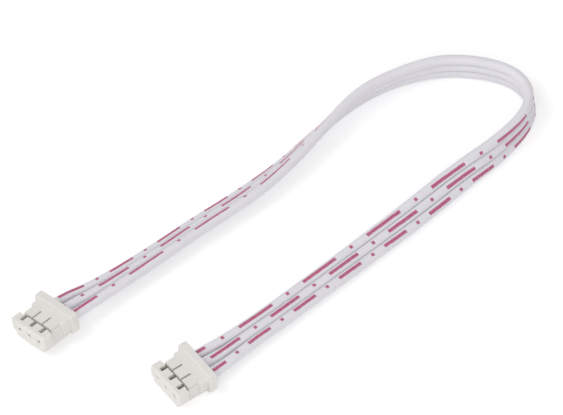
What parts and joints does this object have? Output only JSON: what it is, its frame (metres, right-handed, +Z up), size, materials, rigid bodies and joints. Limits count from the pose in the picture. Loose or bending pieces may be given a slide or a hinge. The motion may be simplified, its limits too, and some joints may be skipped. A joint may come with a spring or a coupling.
{
  "type": "wire-to-board jumper cable",
  "caption": "Short flat jumper cable: bonded insulated wires in a folded loop between two matching crimp plugs for a fine-pitch pin header.",
  "frame": {"origin": "underside of plug A, under the middle of its length and width", "axes": "+Y from plug A's mating face towards its wires, +X across its circuits, +Z up from the plane the cable lies on"},
  "size_m": [0.0305, 0.0842, 0.005],
  "materials": {
    "nylon": "fine moulded satin, warm white",
    "tinned_bronze": "bright tin plate",
    "pvc": "satin, white with printed magenta dashes",
    "tinned_copper": "bright tin plate"
  },
  "bodies": {
    "root": {"housing_a": "nylon", "housing_b": "nylon", "terminal_a1": "tinned_bronze", "terminal_a2": "tinned_bronze", "terminal_a3": "tinned_bronze", "terminal_b1": "tinned_bronze", "terminal_b2": "tinned_bronze", "terminal_b3": "tinned_bronze", "wire_jacket_1": "pvc", "wire_jacket_2": "pvc", "wire_jacket_3": "pvc", "wire_strands_1": "tinned_copper", "wire_strands_2": "tinned_copper", "wire_strands_3": "tinned_copper"}
  },
  "joints": []
}
